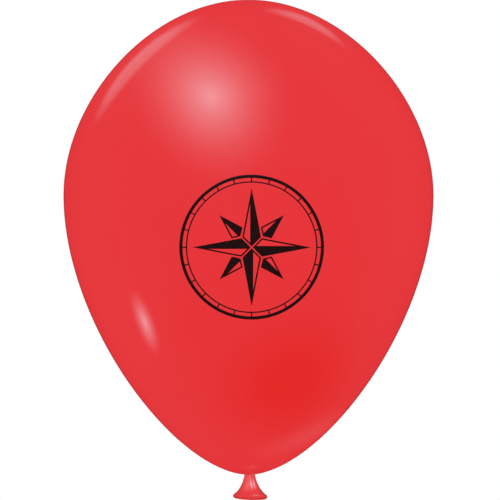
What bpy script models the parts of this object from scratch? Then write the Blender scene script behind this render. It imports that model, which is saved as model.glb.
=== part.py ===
"""A printed latex advertising balloon, blown up and tied at its neck.

The balloon stands upright, crown up, with its print facing -Y. The origin is at the tie, on the balloon's
axis, where the bottom of the body meets the knot. Lengths are in metres.
"""

import math

import bmesh
import bpy
from mathutils import Vector

# Body: a pear shape drawn with two curves that meet at its widest ring.
BODY_RADIUS = 0.150
CROWN_RISE = 0.1586
BODY_TAPER = 0.2268
CROWN_PULL = 0.0788
SHOULDER_PULL = 0.0781
WAIST_PULL = 0.1043
POLE_PULL = 0.0593
POLE_LIFT = 0.0016
FILM_WALL = 0.0004
WIDEST_Z = BODY_TAPER
CROWN_Z = BODY_TAPER + CROWN_RISE

# Throat: the film is gathered in pleats round the core of the neck.
CLEARANCE = 0.0003
CORE_RADIUS = 0.00175
THROAT_RADIUS = CORE_RADIUS + CLEARANCE
THROAT_RISE = 0.0012
PLEATS = 14
PLEAT_REACH = 0.026
PLEAT_DEPTH = 0.00028
THROAT_CURL = 0.0038

# Knot: one overhand turn of the neck, drawn tight under the body.
KNOT_RADIUS = 0.00345
KNOT_SWING = 0.00078
KNOT_LIFT = 0.00095
STRAND_THICK = 0.00124
STRAND_WIDE = 0.00155
KNOT_HALF_HEIGHT = KNOT_LIFT + STRAND_WIDE / 2
KNOT_Z = -KNOT_HALF_HEIGHT

# Tail: the flared mouth of the neck that hangs under the knot, and its rolled bead.
TAIL_TOP_Z = KNOT_Z - KNOT_HALF_HEIGHT - CLEARANCE
TAIL_TOP_RADIUS = 0.0052
BEAD_RADIUS = 0.01205
BEAD_THICK = 0.0037
BEAD_Z = -0.0174
TAIL_END_RADIUS = BEAD_RADIUS - 0.0006
TAIL_END_Z = BEAD_Z + BEAD_THICK / 2 + CLEARANCE
TAIL_FOLDS = 8
FOLD_DEPTH = 0.00045
RIM_TURN = math.radians(2.3)
RIM_NOD = math.radians(6.5)
RIM_SAG = 0.0008
RIM_SHIFT = 0.0013

# Print: a wind rose inside a graduated dial, in one black ink, on the front of the body.
PRINT_X = 0.0025
PRINT_Z = 0.1845
INK_LIFT = 0.00035
INK_THICK = 0.00025
DIAL_RADIUS = 0.0560
DIAL_LINE = 0.0024
SCALE_RADIUS = 0.0500
SCALE_LINE = 0.0009
TICKS = 24
TICK_WIDTH = 0.0009
LONG_POINT = 0.0455
SHORT_POINT = 0.0350
STAR_SHOULDER = 0.0115
STAR_GAP = 0.0008
STAR_LINE = 0.0011
INK_STEP = 0.0080

BODY_SEGMENTS = 56
CROWN_ROWS = 12
TAPER_ROWS = 17
NECK_SEGMENTS = 48

LATEX_RED = (0.799, 0.040, 0.047)
INK_BLACK = (0.010, 0.009, 0.012)


def clear_scene():
    """Empties the scene."""
    for obj in list(bpy.data.objects):
        bpy.data.objects.remove(obj, do_unlink=True)


def make_material(name, colour, roughness):
    """A plain surface of one colour."""
    material = bpy.data.materials.new(name)
    material.use_nodes = True
    shader = material.node_tree.nodes["Principled BSDF"]
    shader.inputs["Base Color"].default_value = (*colour, 1.0)
    shader.inputs["Roughness"].default_value = roughness
    shader.inputs["Metallic"].default_value = 0.0
    material.diffuse_color = (*colour, 1.0)
    return material


def add_object(name, mesh_builder, material):
    """A named object from a finished bmesh, shaded smooth except at its sharp edges."""
    mesh = bpy.data.meshes.new(name)
    mesh_builder.to_mesh(mesh)
    mesh_builder.free()
    mesh.materials.append(material)
    mesh.shade_smooth()
    mesh.set_sharp_from_angle(angle=math.radians(40))
    obj = bpy.data.objects.new(name, mesh)
    bpy.context.scene.collection.objects.link(obj)
    return obj


def add_wall(obj, thickness, side):
    """Gives a sheet its thickness, inwards for side -1 and outwards for side 1."""
    wall = obj.modifiers.new("wall", "SOLIDIFY")
    wall.thickness = thickness
    wall.offset = side
    wall.use_even_offset = True


def bezier(start, pull_start, pull_end, end, share):
    """The point at a share of the way along a cubic curve."""
    rest = 1.0 - share
    return (
        start * rest**3
        + pull_start * (3 * rest**2 * share)
        + pull_end * (3 * rest * share**2)
        + end * share**3
    )


def smooth_step(value):
    """0 below 0, 1 above 1, and an easy S between them."""
    value = min(max(value, 0.0), 1.0)
    return value * value * (3 - 2 * value)


def crown_curve(share):
    """(radius, height) on the upper outline, from the crown down to the widest ring."""
    return bezier(
        Vector((0.0, CROWN_Z)),
        Vector((CROWN_PULL, CROWN_Z)),
        Vector((BODY_RADIUS, WIDEST_Z + SHOULDER_PULL)),
        Vector((BODY_RADIUS, WIDEST_Z)),
        share,
    )


def taper_curve(share):
    """(radius, height) on the lower outline, from the widest ring down to the pole at the tie."""
    return bezier(
        Vector((BODY_RADIUS, WIDEST_Z)),
        Vector((BODY_RADIUS, WIDEST_Z - WAIST_PULL)),
        Vector((POLE_PULL, POLE_LIFT)),
        Vector((0.0, 0.0)),
        share,
    )


def share_at(curve, axis, wanted):
    """The share of a curve at which its radius (axis 0) or height (axis 1) falls or rises to a value."""
    low, high = 0.0, 1.0
    rising = curve(1.0)[axis] > curve(0.0)[axis]
    for _ in range(40):
        middle = (low + high) / 2
        if (curve(middle)[axis] < wanted) == rising:
            low = middle
        else:
            high = middle
    return low


def body_radius(height):
    """The body's outer radius at a height above the tie."""
    curve = crown_curve if height > WIDEST_Z else taper_curve
    return curve(share_at(curve, 1, height))[0]


def body_outline():
    """Outline points of the film, from under the crown to the throat."""
    throat_start = share_at(taper_curve, 0, THROAT_CURL)
    crown = [crown_curve(row / CROWN_ROWS) for row in range(1, CROWN_ROWS)]
    closer = [math.sin(math.pi / 2 * row / TAPER_ROWS) for row in range(TAPER_ROWS + 1)]
    taper = [taper_curve(throat_start * share) for share in closer]
    last = taper[-1]
    lip = Vector((THROAT_RADIUS + FILM_WALL, last[1] + THROAT_RISE))
    curl = [bezier(last, Vector((lip[0], last[1])), lip, lip, step / 3) for step in (1, 2, 3)]
    return crown + taper + curl


def ring(radius, height, segments, ripple=None):
    """Points round the axis, where ripple gives the extra radius at an angle."""
    points = []
    for index in range(segments):
        angle = 2 * math.pi * index / segments
        reach = radius + (ripple(angle) if ripple else 0.0)
        points.append(Vector((reach * math.cos(angle), reach * math.sin(angle), height)))
    return points


def bridge(builder, rings, closed=False):
    """Joins rows of points with faces, and the last row to the first where the shape closes on itself."""
    rows = [[builder.verts.new(point) for point in row] for row in rings]
    pairs = list(zip(rows, rows[1:]))
    if closed:
        pairs.append((rows[-1], rows[0]))
    for upper, lower in pairs:
        for index in range(len(upper)):
            after = (index + 1) % len(upper)
            builder.faces.new((upper[index], lower[index], lower[after], upper[after]))
    return rows


def cap(builder, row, point):
    """Closes a row of points with a fan to one point."""
    tip = builder.verts.new(point)
    for index in range(len(row)):
        builder.faces.new((tip, row[index], row[(index + 1) % len(row)]))


def outward(builder):
    """Turns every face outwards."""
    bmesh.ops.recalc_face_normals(builder, faces=builder.faces)


def make_envelope(material):
    """The blown body: one thin film, closed at the crown and gathered in pleats at the throat."""
    builder = bmesh.new()
    rings = []
    for radius, height in body_outline():
        low = height < BODY_TAPER / 2
        share = smooth_step(1 - radius / PLEAT_REACH) if low else 0.0
        share *= smooth_step((radius - THROAT_RADIUS - FILM_WALL) / THROAT_CURL)
        depth = PLEAT_DEPTH * share
        rings.append(
            ring(radius, height, BODY_SEGMENTS, lambda angle, deep=depth: deep * math.cos(PLEATS * angle))
        )
    rows = bridge(builder, rings)
    cap(builder, rows[0], Vector((0.0, 0.0, CROWN_Z)))
    outward(builder)
    envelope = add_object("envelope", builder, material)
    add_wall(envelope, FILM_WALL, -1)


def make_neck_core(material):
    """The bunched neck that runs down from inside the throat, through the knot, into the tail."""
    top = 2 * THROAT_RISE + THROAT_CURL / 4
    bottom = TAIL_TOP_Z - CORE_RADIUS
    tip_height = CORE_RADIUS / 2
    builder = bmesh.new()
    rows = bridge(
        builder,
        [
            ring(CORE_RADIUS * 0.7, top, 16),
            ring(CORE_RADIUS, top - tip_height, 16),
            ring(CORE_RADIUS, bottom + tip_height, 16),
            ring(CORE_RADIUS * 0.7, bottom, 16),
        ],
    )
    cap(builder, rows[0], Vector((0.0, 0.0, top)))
    cap(builder, rows[-1], Vector((0.0, 0.0, bottom)))
    outward(builder)
    add_object("neck_core", builder, material)


def knot_path(share):
    """A point on the strand of the knot, which goes twice round the core and crosses itself three times."""
    turn = 2 * math.pi * share
    reach = KNOT_RADIUS + KNOT_SWING * math.cos(3 * turn)
    return Vector(
        (
            reach * math.cos(2 * turn),
            reach * math.sin(2 * turn),
            KNOT_Z + KNOT_LIFT * math.sin(3 * turn),
        )
    )


def make_knot(material):
    """The flattened strand of the overhand knot."""
    steps, sides = 84, 8
    builder = bmesh.new()
    rings = []
    for step in range(steps):
        centre = knot_path(step / steps)
        out = Vector((centre.x, centre.y, 0.0)).normalized()
        along = (knot_path((step + 1) / steps) - knot_path((step - 1) / steps)).normalized()
        out = (out - along * out.dot(along)).normalized()
        up = along.cross(out)
        section = []
        for side in range(sides):
            angle = 2 * math.pi * side / sides
            section.append(
                centre
                + out * (STRAND_THICK / 2 * math.cos(angle))
                + up * (STRAND_WIDE / 2 * math.sin(angle))
            )
        rings.append(section)
    bridge(builder, rings, closed=True)
    outward(builder)
    add_object("knot", builder, material)


def sway(point):
    """Carries a point of the straight tail to where the soft tail hangs.

    Its rim nods down at the back and to the right, sags in front and behind, and shifts a little to the right.
    """
    share = smooth_step((TAIL_TOP_Z - point.z) / (TAIL_TOP_Z - BEAD_Z))
    tilt = point.y * math.tan(RIM_NOD) + point.x * math.tan(RIM_TURN)
    drop = tilt + RIM_SAG * (point.y / BEAD_RADIUS) ** 2
    return point + Vector((RIM_SHIFT * share, 0.0, -drop * share))


def make_neck_tail(material):
    """The flared skirt under the knot: a thin funnel with soft folds that die out towards the rim."""
    rows = 8
    inner_start = Vector((THROAT_RADIUS + FILM_WALL, TAIL_TOP_Z))
    shoulder = Vector((TAIL_TOP_RADIUS, TAIL_TOP_Z))
    end = Vector((TAIL_END_RADIUS, TAIL_END_Z))
    outline = [inner_start, inner_start.lerp(shoulder, 0.6)]
    for row in range(rows + 1):
        outline.append(
            bezier(
                shoulder,
                shoulder + Vector((0.0019, -0.0034)),
                end + Vector((-0.0026, 0.0029)),
                end,
                row / rows,
            )
        )
    builder = bmesh.new()
    rings = []
    for radius, height in outline:
        gathered = smooth_step((radius - THROAT_RADIUS) / (TAIL_TOP_RADIUS - THROAT_RADIUS))
        slack = 1 - smooth_step((TAIL_TOP_Z - height) / (TAIL_TOP_Z - TAIL_END_Z))
        depth = FOLD_DEPTH * gathered * slack
        rings.append(
            [
                sway(point)
                for point in ring(
                    radius,
                    height,
                    NECK_SEGMENTS,
                    lambda angle, deep=depth: deep * math.cos(TAIL_FOLDS * angle),
                )
            ]
        )
    bridge(builder, rings)
    outward(builder)
    tail = add_object("neck_tail", builder, material)
    add_wall(tail, FILM_WALL, -1)


def make_lip_bead(material):
    """The rolled rim of the mouth, a soft ring that hangs from the tail."""
    sides = 10
    builder = bmesh.new()
    rings = []
    for index in range(NECK_SEGMENTS):
        angle = 2 * math.pi * index / NECK_SEGMENTS
        out = Vector((math.cos(angle), math.sin(angle), 0.0))
        section = []
        for side in range(sides):
            turn = 2 * math.pi * side / sides
            reach = BEAD_RADIUS + BEAD_THICK / 2 * math.cos(turn)
            section.append(sway(out * reach + Vector((0.0, 0.0, BEAD_Z + BEAD_THICK / 2 * math.sin(turn)))))
        rings.append(section)
    bridge(builder, rings, closed=True)
    outward(builder)
    add_object("lip_bead", builder, material)


def polar(radius, angle):
    """A point of the flat print, with angle 0 straight up and growing to the right."""
    return Vector((radius * math.sin(angle), radius * math.cos(angle)))


def on_front(flat):
    """Carries a point of the flat print on to the front of the body."""
    height = PRINT_Z + flat.y
    across = PRINT_X + flat.x
    reach = body_radius(height) + INK_LIFT
    return Vector((across, -math.sqrt(reach * reach - across * across), height))


def divided(corners):
    """The outline through these corners, with points no further apart than one ink step."""
    points = []
    for start, end in zip(corners, corners[1:] + corners[:1]):
        parts = max(1, math.ceil((end - start).length / INK_STEP))
        points += [start.lerp(end, part / parts) for part in range(parts)]
    return points


def make_ink(name, outlines, material):
    """One island of ink inside the first outline, with the others cut out of it."""
    builder = bmesh.new()
    for corners in outlines:
        corner_verts = [builder.verts.new((*point, 0.0)) for point in divided(corners)]
        for first, second in zip(corner_verts, corner_verts[1:] + corner_verts[:1]):
            builder.edges.new((first, second))
    bmesh.ops.triangle_fill(builder, use_beauty=True, edges=builder.edges)
    for vert in builder.verts:
        vert.co = on_front(vert.co.xy)
    builder.normal_update()
    if sum(face.normal.y for face in builder.faces) > 0:
        bmesh.ops.reverse_faces(builder, faces=builder.faces)
    ink = add_object(name, builder, material)
    add_wall(ink, INK_THICK, 1)


def arc(radius, start, end, parts):
    """Points along an arc of the flat print, both ends included."""
    return [polar(radius, start + (end - start) * part / parts) for part in range(parts + 1)]


def make_print_dial(material):
    """Two rings of ink joined by the marks of a scale."""
    outer = DIAL_RADIUS
    scale_outer = outer - DIAL_LINE
    scale_inner = SCALE_RADIUS + SCALE_LINE
    step = 2 * math.pi / TICKS
    edge = arc(outer, 0.0, 2 * math.pi, 3 * TICKS)[:-1]
    hollow = arc(SCALE_RADIUS, 0.0, 2 * math.pi, 2 * TICKS)[:-1]
    windows = []
    for tick in range(TICKS):
        half_out = TICK_WIDTH / 2 / scale_outer
        half_in = TICK_WIDTH / 2 / scale_inner
        start, end = tick * step, (tick + 1) * step
        windows.append(
            arc(scale_outer, start + half_out, end - half_out, 2)
            + arc(scale_inner, end - half_in, start + half_in, 2)
        )
    make_ink("print_dial", [edge, hollow, *windows], material)


def inset(corners, distance):
    """The corners of a convex outline moved in from every side by a distance."""
    moved = []
    middle = sum(corners, Vector((0.0, 0.0))) / len(corners)
    for before, corner, after in zip(corners[-1:] + corners[:-1], corners, corners[1:] + corners[:1]):
        normals = []
        for start, end in ((before, corner), (corner, after)):
            side = (end - start).normalized()
            normal = Vector((-side.y, side.x))
            normals.append(normal if normal.dot(middle - start) > 0 else -normal)
        bisector = (normals[0] + normals[1]).normalized()
        moved.append(corner + bisector * (distance / bisector.dot(normals[0])))
    return moved


def make_star_point(name, heading, heel, shoulder, spread, tip, material):
    """One point of the wind rose: a kite whose right half is solid and whose left half is a line round a gap."""
    heel_point = polar(heel, heading)
    left = polar(shoulder, heading - spread)
    right = polar(shoulder, heading + spread)
    tip_point = polar(tip, heading)
    kite = [heel_point, left, tip_point, right]
    window = inset([heel_point, left, tip_point], STAR_LINE)
    make_ink(name, [kite, window], material)


def make_print_star(material):
    """Four long points, and four short ones that show between them."""
    quarter = math.pi / 2
    for index in range(4):
        make_star_point(
            f"print_long_point_{index + 1}",
            index * quarter,
            STAR_GAP,
            STAR_SHOULDER - STAR_GAP,
            math.radians(42),
            LONG_POINT,
            material,
        )
        make_star_point(
            f"print_short_point_{index + 1}",
            (index + 0.5) * quarter,
            STAR_SHOULDER + STAR_GAP,
            STAR_SHOULDER * 1.48,
            math.radians(20.5),
            SHORT_POINT,
            material,
        )


def main():
    clear_scene()
    latex = make_material("red_latex", LATEX_RED, 0.35)
    ink = make_material("black_ink", INK_BLACK, 0.45)
    make_envelope(latex)
    make_neck_core(latex)
    make_knot(latex)
    make_neck_tail(latex)
    make_lip_bead(latex)
    make_print_dial(ink)
    make_print_star(ink)


main()
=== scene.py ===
# %% [markdown]
# A tied latex balloon with a printed wind rose
# The real object is a party balloon of dipped red latex, blown up, knotted and printed in one black ink.
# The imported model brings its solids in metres, crown up, print towards -Y, with the knot at the origin.
# Every cell below makes one piece or one finish over those solids, in the same frame.

# %% Load the frame
import math

import bmesh
import bpy
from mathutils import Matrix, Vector


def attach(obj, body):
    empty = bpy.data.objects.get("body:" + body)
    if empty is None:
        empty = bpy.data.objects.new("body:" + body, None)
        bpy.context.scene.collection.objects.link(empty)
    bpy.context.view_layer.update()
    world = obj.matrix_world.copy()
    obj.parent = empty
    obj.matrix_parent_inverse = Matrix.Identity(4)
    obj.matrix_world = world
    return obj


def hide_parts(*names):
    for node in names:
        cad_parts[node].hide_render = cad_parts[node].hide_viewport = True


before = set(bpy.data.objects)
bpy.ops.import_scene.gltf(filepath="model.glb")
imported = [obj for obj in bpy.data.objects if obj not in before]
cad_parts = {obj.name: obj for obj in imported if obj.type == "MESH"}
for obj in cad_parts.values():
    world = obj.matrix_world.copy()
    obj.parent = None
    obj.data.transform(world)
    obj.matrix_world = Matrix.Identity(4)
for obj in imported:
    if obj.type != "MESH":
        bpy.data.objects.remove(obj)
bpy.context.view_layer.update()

# %% [markdown]
# The photograph is level, from the front, and the crown and the rolled lip touch its top and bottom edges.
# One pixel is a fixed length at the balloon's axis, and a long lens at a few metres gives the same flat
# outline. The lens follows from that length and the distance, so the framing stays if the distance changes.

# %% Stand the camera
PIXEL = 0.0008117
PHOTO_SIDE = 500
AXIS_COLUMN = 248.5
CROWN_Z = 0.3854
CAMERA_DISTANCE = 3.0
SENSOR_WIDTH = 36.0

camera_data = bpy.data.cameras.new("camera")
camera_data.sensor_width = SENSOR_WIDTH
camera_data.lens = SENSOR_WIDTH * CAMERA_DISTANCE / (PHOTO_SIDE * PIXEL)
camera = bpy.data.objects.new("camera", camera_data)
camera.location = (
    (PHOTO_SIDE / 2 - AXIS_COLUMN) * PIXEL,
    -CAMERA_DISTANCE,
    CROWN_Z - PHOTO_SIDE / 2 * PIXEL,
)
camera.rotation_euler = (math.radians(90), 0.0, 0.0)
bpy.context.scene.collection.objects.link(camera)
bpy.context.scene.camera = camera
print("lens:", round(camera_data.lens, 1), "mm")

# %% [markdown]
# Node trees for shapes and for finishes are both written here as short lists of wires.
# A small bench keeps that readable: it adds a node, sets its switches, and plugs a number or another
# node's output into each of its inputs by name. It also moves a shape's points and welds its seams.

# %% A bench for wiring nodes
WELD_DISTANCE = 0.0000005


class Bench:
    """Adds nodes to a tree and wires their inputs in the same line."""

    def __init__(self, tree):
        self.tree = tree
        self.entry = None

    def add(self, kind, feeds=None, **switches):
        made = self.tree.nodes.new(kind)
        made.location = (190 * len(self.tree.nodes), 0)
        for key, value in switches.items():
            setattr(made, key, value)
        for key, value in (feeds or {}).items():
            self.plug(made.inputs[key], value)
        return made

    def plug(self, socket, value):
        if isinstance(value, bpy.types.Node):
            value = value.outputs[0]
        if isinstance(value, bpy.types.NodeSocket):
            self.tree.links.new(value, socket)
        else:
            socket.default_value = value

    def sum(self, operation, *values):
        """Works on the first two values, then on the result and each value that follows."""
        result = self.add("ShaderNodeMath", dict(enumerate(values[:2])), operation=operation).outputs[0]
        for value in values[2:]:
            result = self.sum(operation, result, value)
        return result

    def aim(self, operation, *values):
        return self.add("ShaderNodeVectorMath", dict(enumerate(values)), operation=operation)

    def scaled(self, vector, amount):
        return self.add("ShaderNodeVectorMath", {0: vector, "Scale": amount}, operation="SCALE")

    def point(self, x, y, z):
        return self.add("ShaderNodeCombineXYZ", {"X": x, "Y": y, "Z": z}).outputs[0]

    def moved(self, shape, place):
        return self.add("GeometryNodeSetPosition", {"Geometry": shape, "Position": place})

    def welded(self, shape):
        return self.add("GeometryNodeMergeByDistance", {"Geometry": shape, "Distance": WELD_DISTANCE})

    def step(self, value, start, end, low=0.0, high=1.0, curve="SMOOTHSTEP"):
        feeds = {"Value": value, "From Min": start, "From Max": end, "To Min": low, "To Max": high}
        return self.add("ShaderNodeMapRange", feeds, interpolation_type=curve).outputs[0]

    def takes(self, name, kind, value=None):
        """Adds a named input to a shape tree."""
        socket = self.tree.interface.new_socket(name, in_out="INPUT", socket_type="NodeSocket" + kind)
        if value is not None:
            socket.default_value = value
        if self.entry is None:
            self.entry = self.tree.nodes.new("NodeGroupInput")
        return self.entry.outputs[name]

    def gives(self, shape, finish):
        """Ends a shape tree: real faces, smooth shading and the finish."""
        self.tree.interface.new_socket("Shape", in_out="OUTPUT", socket_type="NodeSocketGeometry")
        real = self.add("GeometryNodeRealizeInstances", {"Geometry": shape})
        shaded = self.add("GeometryNodeSetShadeSmooth", {"Geometry": real, "Shade Smooth": True})
        painted = self.add("GeometryNodeSetMaterial", {"Geometry": shaded, "Material": finish})
        self.plug(self.add("NodeGroupOutput").inputs[0], painted)


def new_bench(name):
    return Bench(bpy.data.node_groups.new(name, "GeometryNodeTree"))


print("bench ready")

# %% [markdown]
# A finish is a material tree, and all of them start alike: a Principled shader and the piece's own place.
# Object coordinates are the balloon's real metres, because every piece sits at the origin.
# So a scale of 100 in a noise means one patch for each centimetre of rubber.

# %% A blank finish
def new_finish(name):
    """A material with its bench, its shader and its place socket."""
    finish = bpy.data.materials.new(name)
    finish.use_nodes = True
    bench = Bench(finish.node_tree)
    shader = finish.node_tree.nodes["Principled BSDF"]
    place = bench.add("ShaderNodeTexCoord").outputs["Object"]
    return finish, bench, shader, place


def noise(bench, place, scale, detail=2.0, rough=0.5, stretch=(1.0, 1.0, 1.0)):
    """Cloudy grey, drawn out along the axes where stretch is small."""
    drawn = bench.add("ShaderNodeMapping", {"Vector": place, "Scale": stretch})
    feeds = {"Vector": drawn, "Scale": scale, "Detail": detail, "Roughness": rough}
    return bench.add("ShaderNodeTexNoise", feeds).outputs["Fac"]


def blend(bench, amount, first, second):
    """Mixes two colours by an amount."""
    made = bench.add("ShaderNodeMix", data_type="RGBA", clamp_factor=True)
    for socket, value in ((made.inputs[0], amount), (made.inputs[6], first), (made.inputs[7], second)):
        bench.plug(socket, value)
    return made.outputs[2]


def emboss(bench, shader, height, strength, distance):
    """Makes a surface look uneven to the light, without new faces."""
    relief = bench.add("ShaderNodeBump", {"Strength": strength, "Distance": distance, "Height": height})
    bench.plug(shader.inputs["Normal"], relief)


def set_levels(shader, levels):
    """Sets the numbers that are the same all over the surface."""
    for name, level in levels.items():
        shader.inputs[name].default_value = level


print("finishes can be mixed")

# %% [markdown]
# The film is dipped latex with pigment in it: an even red, a little denser where it is less stretched.
# That is at the crown and round the throat; a broad patch low on the right of the front is painted shade, a
# deeper red.
# Its own gloss is a thin clear skin over a soft body, so a coat carries the sharp reflections.
# Faint clouds, drip lines from the dipping and specks of powder stay within a hair of the flat colour.

# %% Finish: stretched red latex
FILM_RED = (0.803, 0.0298, 0.0366, 1.0)
FILM_PALE = (0.810, 0.0345, 0.0415, 1.0)
FILM_SHADE_RED = (0.790, 0.0125, 0.0105, 1.0)
FILM_DARK = (0.560, 0.0150, 0.0170, 1.0)
FILM_POWDER = (0.85, 0.30, 0.30, 1.0)
# Centre of the broad patch of painted shade, low on the right of the front of the film.
SHADE_PATCH_CENTRE = Vector((0.0370, -0.0915, 0.0752))
THROAT_POLE = Vector((0.0, 0.0, -0.002))
CROWN_POLE = Vector((0.0, 0.0, CROWN_Z))


def distance_to(bench, place, target):
    return bench.aim("DISTANCE", place, tuple(target)).outputs["Value"]


def specks(bench, place, cell_scale, edge, patch_scale, rarity):
    """Small dots, one to a cell, which a broader noise keeps here and there."""
    cells = bench.add("ShaderNodeTexVoronoi", {"Vector": place, "Scale": cell_scale}).outputs["Distance"]
    allowed = bench.step(noise(bench, place, patch_scale, detail=1.0), *rarity)
    return bench.sum("MULTIPLY", bench.step(cells, *edge), allowed)


def make_film_finish():
    finish, bench, shader, place = new_finish("stretched_latex")
    clouds = noise(bench, place, 16.0, detail=3.0)
    drips = noise(bench, place, 1.0, stretch=(130.0, 130.0, 9.0))
    cloudy = bench.sum("MULTIPLY", bench.step(clouds, 0.35, 0.75), 0.30)
    streaky = bench.sum("MULTIPLY", bench.step(drips, 0.45, 0.80), 0.22)
    tone = blend(bench, bench.sum("ADD", cloudy, streaky), FILM_RED, FILM_PALE)
    # Painted shade: a deeper red patch low on the right of the front, with a fainter wide rim round it.
    to_shade_patch = distance_to(bench, place, SHADE_PATCH_CENTRE)
    patch = bench.sum("MULTIPLY", bench.step(to_shade_patch, 0.085, 0.006), 0.82)
    shade_patch_halo = bench.sum("MULTIPLY", bench.step(to_shade_patch, 0.185, 0.050), 0.20)
    tone = blend(bench, bench.sum("ADD", patch, shade_patch_halo), tone, FILM_SHADE_RED)
    for pole, far, near, share in ((CROWN_POLE, 0.013, 0.002, 0.65), (THROAT_POLE, 0.016, 0.004, 0.35)):
        gathered = bench.step(distance_to(bench, place, pole), far, near)
        tone = blend(bench, bench.sum("MULTIPLY", gathered, share), tone, FILM_DARK)
    speck = specks(bench, place, 420.0, (0.075, 0.045), 60.0, (0.62, 0.72))
    tone = blend(bench, bench.sum("MULTIPLY", speck, 0.22), tone, FILM_POWDER)
    bench.plug(shader.inputs["Base Color"], tone)
    grain = noise(bench, place, 700.0)
    bench.plug(shader.inputs["Roughness"], bench.step(grain, 0.2, 0.8, 0.40, 0.50, "LINEAR"))
    emboss(bench, shader, bench.sum("ADD", grain, speck), strength=0.35, distance=0.00002)
    coat = {"Coat Weight": 0.85, "Coat Roughness": 0.045, "Coat IOR": 1.5}
    set_levels(shader, {"Specular IOR Level": 0.12, **coat})
    return finish


film_finish = make_film_finish()
print("finish:", film_finish.name, len(film_finish.node_tree.nodes), "nodes")

# %% [markdown]
# The neck, the knot, the tail and the lip were never blown up, so their rubber is thicker and deeper red.
# Slack latex shows fine lines along the way it was dipped, and it shines in softer, broader streaks.
# The lines follow the piece's own unwrapped grid, so they run down the tail and across the rolled lip.
# The lip is many layers of the same rubber, which makes it deeper still, so it gets its own tones.

# %% Finish: slack red latex
SLACK_RED = (0.940, 0.0400, 0.0470, 1.0)
SLACK_DEEP = (0.860, 0.0280, 0.0330, 1.0)
ROLLED_RED = (0.910, 0.0310, 0.0370, 1.0)
ROLLED_DEEP = (0.830, 0.0220, 0.0260, 1.0)


def make_slack_finish(name, thin_tone, thick_tone):
    finish, bench, shader, place = new_finish(name)
    own_grid = bench.add("ShaderNodeUVMap", uv_map="UVMap").outputs["UV"]
    lines = noise(bench, own_grid, 1.0, detail=3.0, rough=0.6, stretch=(70.0, 2.5, 1.0))
    clouds = noise(bench, place, 220.0, detail=3.0)
    dense = bench.sum("ADD", bench.step(lines, 0.42, 0.75), bench.step(clouds, 0.5, 0.9))
    tone = blend(bench, bench.sum("MULTIPLY", dense, 0.30), thin_tone, thick_tone)
    bench.plug(shader.inputs["Base Color"], tone)
    bench.plug(shader.inputs["Roughness"], bench.step(clouds, 0.2, 0.8, 0.34, 0.46, "LINEAR"))
    height = bench.sum("ADD", lines, bench.sum("MULTIPLY", clouds, 0.6))
    emboss(bench, shader, height, strength=0.5, distance=0.00006)
    set_levels(shader, {"Specular IOR Level": 0.35, "Coat Weight": 1.0, "Coat Roughness": 0.13})
    return finish


slack_finish = make_slack_finish("slack_latex", SLACK_RED, SLACK_DEEP)
rolled_finish = make_slack_finish("rolled_latex", ROLLED_RED, ROLLED_DEEP)
print("finishes:", slack_finish.name, "and", rolled_finish.name)

# %% [markdown]
# The print is one pass of black ink through a screen, laid on the half-blown balloon and then stretched.
# Stretched ink is thin: it is satin, not glossy, and close up it has pinholes where the red shows through.
# The pinholes are made like the powder on the film: small dots that a broader noise keeps here and there.

# %% Finish: screen-printed black ink
INK_BLACK = (0.0042, 0.0034, 0.0036, 1.0)
INK_WORN = (0.0120, 0.0060, 0.0060, 1.0)


def make_ink_finish():
    finish, bench, shader, place = new_finish("screen_ink")
    mesh_marks = noise(bench, place, 900.0)
    tone = blend(bench, bench.step(mesh_marks, 0.35, 0.75), INK_BLACK, INK_WORN)
    pinhole = specks(bench, place, 1100.0, (0.16, 0.10), 160.0, (0.60, 0.70))
    tone = blend(bench, bench.sum("MULTIPLY", pinhole, 0.7), tone, FILM_RED)
    bench.plug(shader.inputs["Base Color"], tone)
    bench.plug(shader.inputs["Roughness"], bench.step(mesh_marks, 0.2, 0.8, 0.46, 0.60, "LINEAR"))
    relief = bench.sum("SUBTRACT", mesh_marks, pinhole)
    emboss(bench, shader, relief, strength=0.4, distance=0.00002)
    set_levels(shader, {"Specular IOR Level": 0.14})
    return finish


ink_finish = make_ink_finish()
print("finish:", ink_finish.name, len(ink_finish.node_tree.nodes), "nodes")

# %% [markdown]
# The body, the neck, the tail and the lip are all round their axis, so each is an outline that is spun.
# An outline is a flat curve: distance from the axis along X and height along Z, in cubic arcs.
# The curve's own radius is a note beside the line, which says how deeply the rubber is creased there.
# An arc is searched by halving it again and again.

# %% Draw an outline
OUTLINE_STEPS = 96
HALVINGS = 40


def cut_arc(arc, share):
    """Cuts a cubic arc in two at a share of its way."""
    first = [arc[0].lerp(arc[1], share)]
    middle = arc[1].lerp(arc[2], share)
    last = arc[2].lerp(arc[3], share)
    left = first[0].lerp(middle, share)
    right = middle.lerp(last, share)
    centre = left.lerp(right, share)
    return [arc[0], first[0], left, centre], [centre, right, last, arc[3]]


def share_up_to(arc, is_before):
    """The share of an arc up to which a test of its points holds."""
    low, high = 0.0, 1.0
    for _ in range(HALVINGS):
        middle = (low + high) / 2
        if is_before(cut_arc(arc, middle)[0][3]):
            low = middle
        else:
            high = middle
    return low


def draw_outline(name, arcs, creases, closed=False):
    """A curve object through the arcs, with a crease note from 0 to 1 at each point."""
    line = bpy.data.curves.new(name, "CURVE")
    line.dimensions = "3D"
    spline = line.splines.new("BEZIER")
    spline.resolution_u = OUTLINE_STEPS
    spline.use_cyclic_u = closed
    spline.bezier_points.add(len(arcs) - (1 if closed else 0))
    for index, bend in enumerate(spline.bezier_points):
        after = arcs[index] if index < len(arcs) else None
        before = arcs[index - 1] if index or closed else None
        bend.handle_left_type = bend.handle_right_type = "FREE"
        place = after[0] if after else before[3]
        bend.co = (place.x, 0.0, place.y)
        pull_in = before[2] if before else place
        pull_out = after[1] if after else place
        bend.handle_left = (pull_in.x, 0.0, pull_in.y)
        bend.handle_right = (pull_out.x, 0.0, pull_out.y)
        bend.radius = creases[index]
    drawn = bpy.data.objects.new(name, line)
    bpy.context.scene.collection.objects.link(drawn)
    return drawn


print("outlines can be drawn")

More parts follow.
